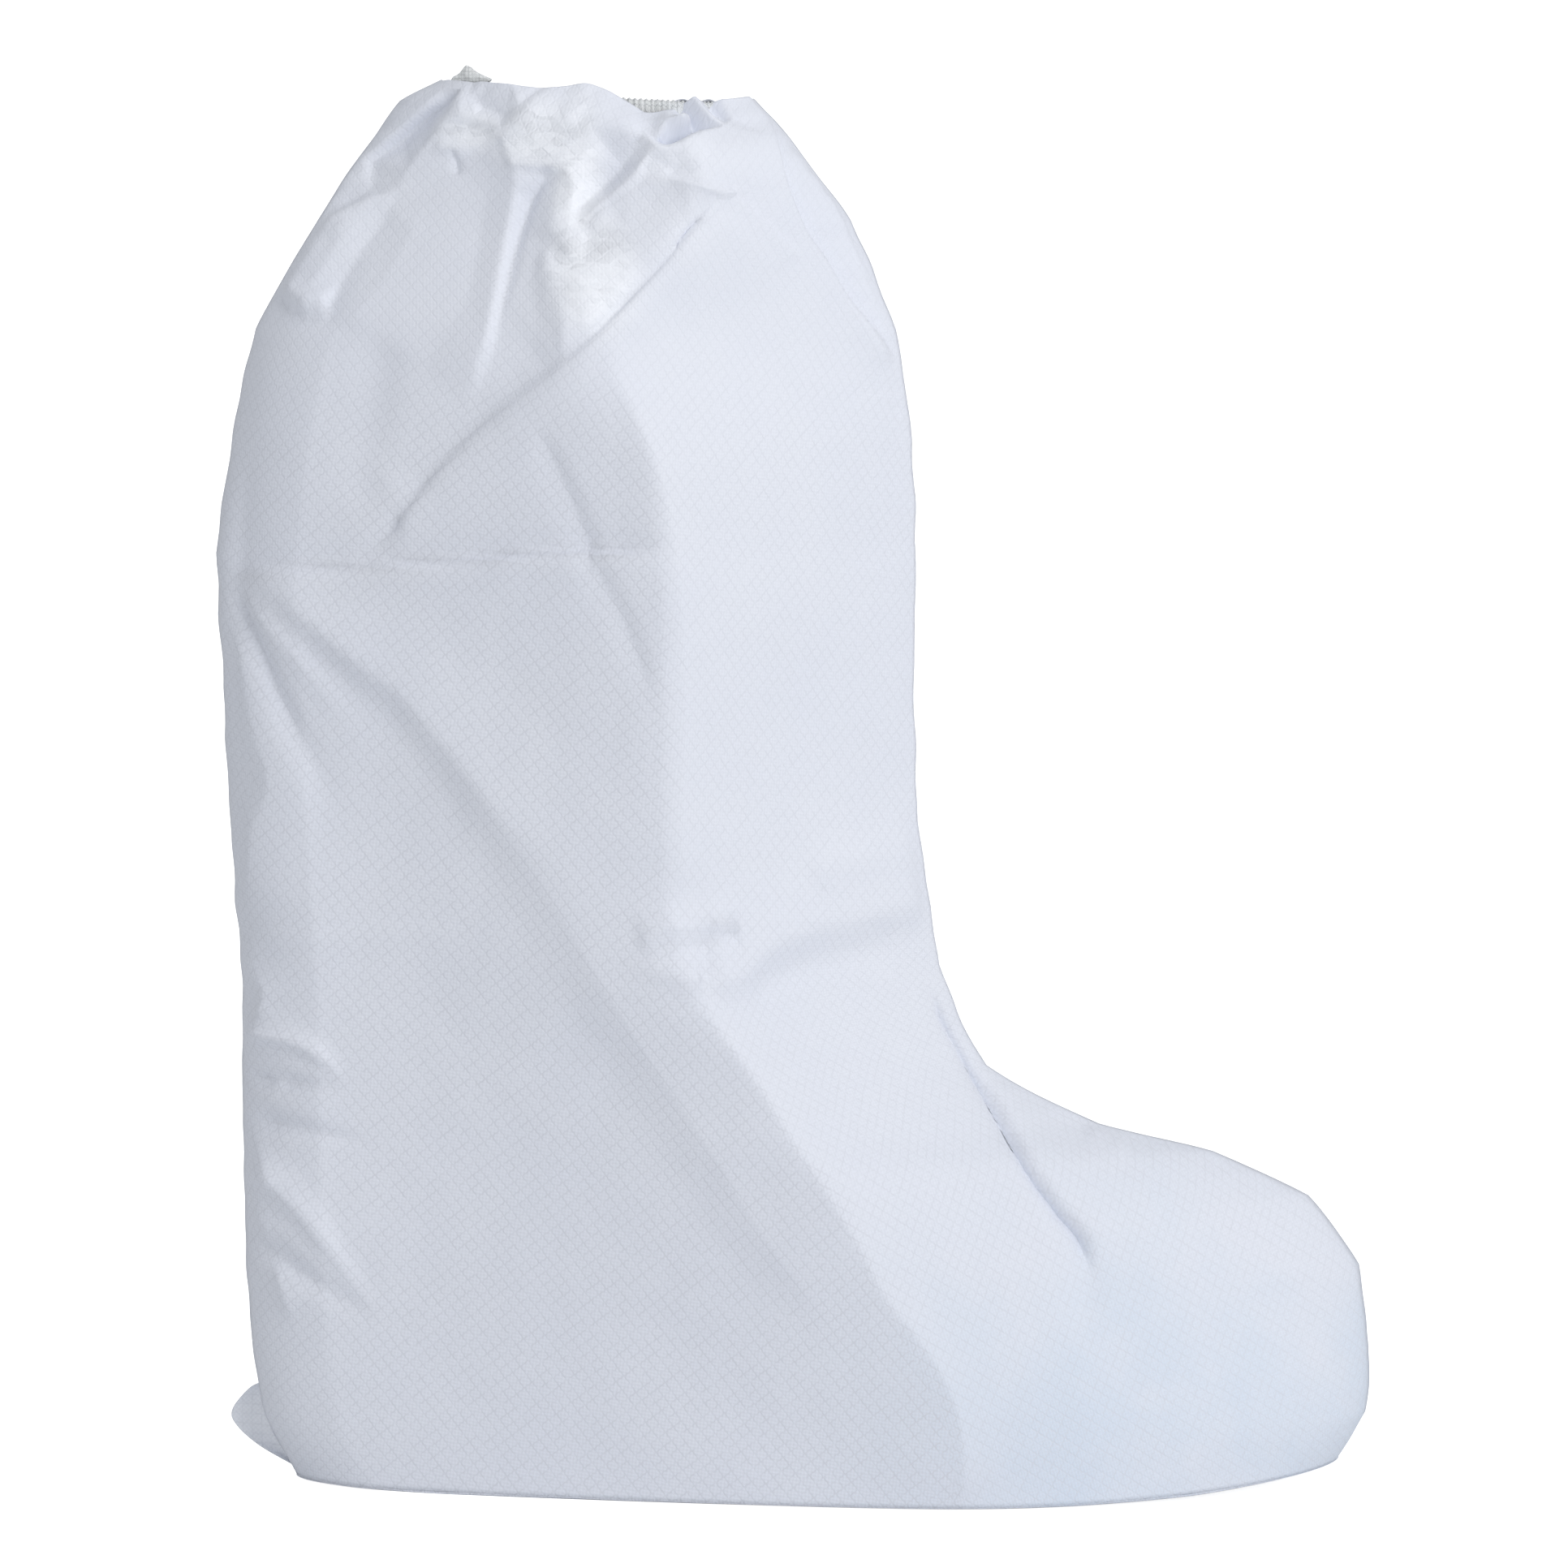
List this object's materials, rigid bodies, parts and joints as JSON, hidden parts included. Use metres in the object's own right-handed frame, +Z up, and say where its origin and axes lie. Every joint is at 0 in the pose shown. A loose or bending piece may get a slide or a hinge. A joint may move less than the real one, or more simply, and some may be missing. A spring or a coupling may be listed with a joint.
{
  "type": "boot cover",
  "caption": "Tall slip-on boot cover of white laminated nonwoven, sewn from side panels, with a flat sole, folds in the slack shaft and a gathered elastic collar.",
  "frame": {"origin": "middle of the cover's outline, on the floor it stands on", "axes": "+X towards the toe, +Z up, so +Y is away from the side that the picture shows"},
  "size_m": [0.3734, 0.1184, 0.4611],
  "materials": {
    "laminate": "film-laminated nonwoven, soft satin, fine embossed diagonal lattice",
    "sole_laminate": "film-laminated nonwoven, satin, fine embossed lattice",
    "elastic": "matt knitted elastic, greyish white"
  },
  "bodies": {
    "root": {"upper": "laminate", "sole": "sole_laminate", "collar_elastic": "elastic", "back_seam_tab": "elastic", "heel_ear": "laminate"}
  },
  "joints": []
}
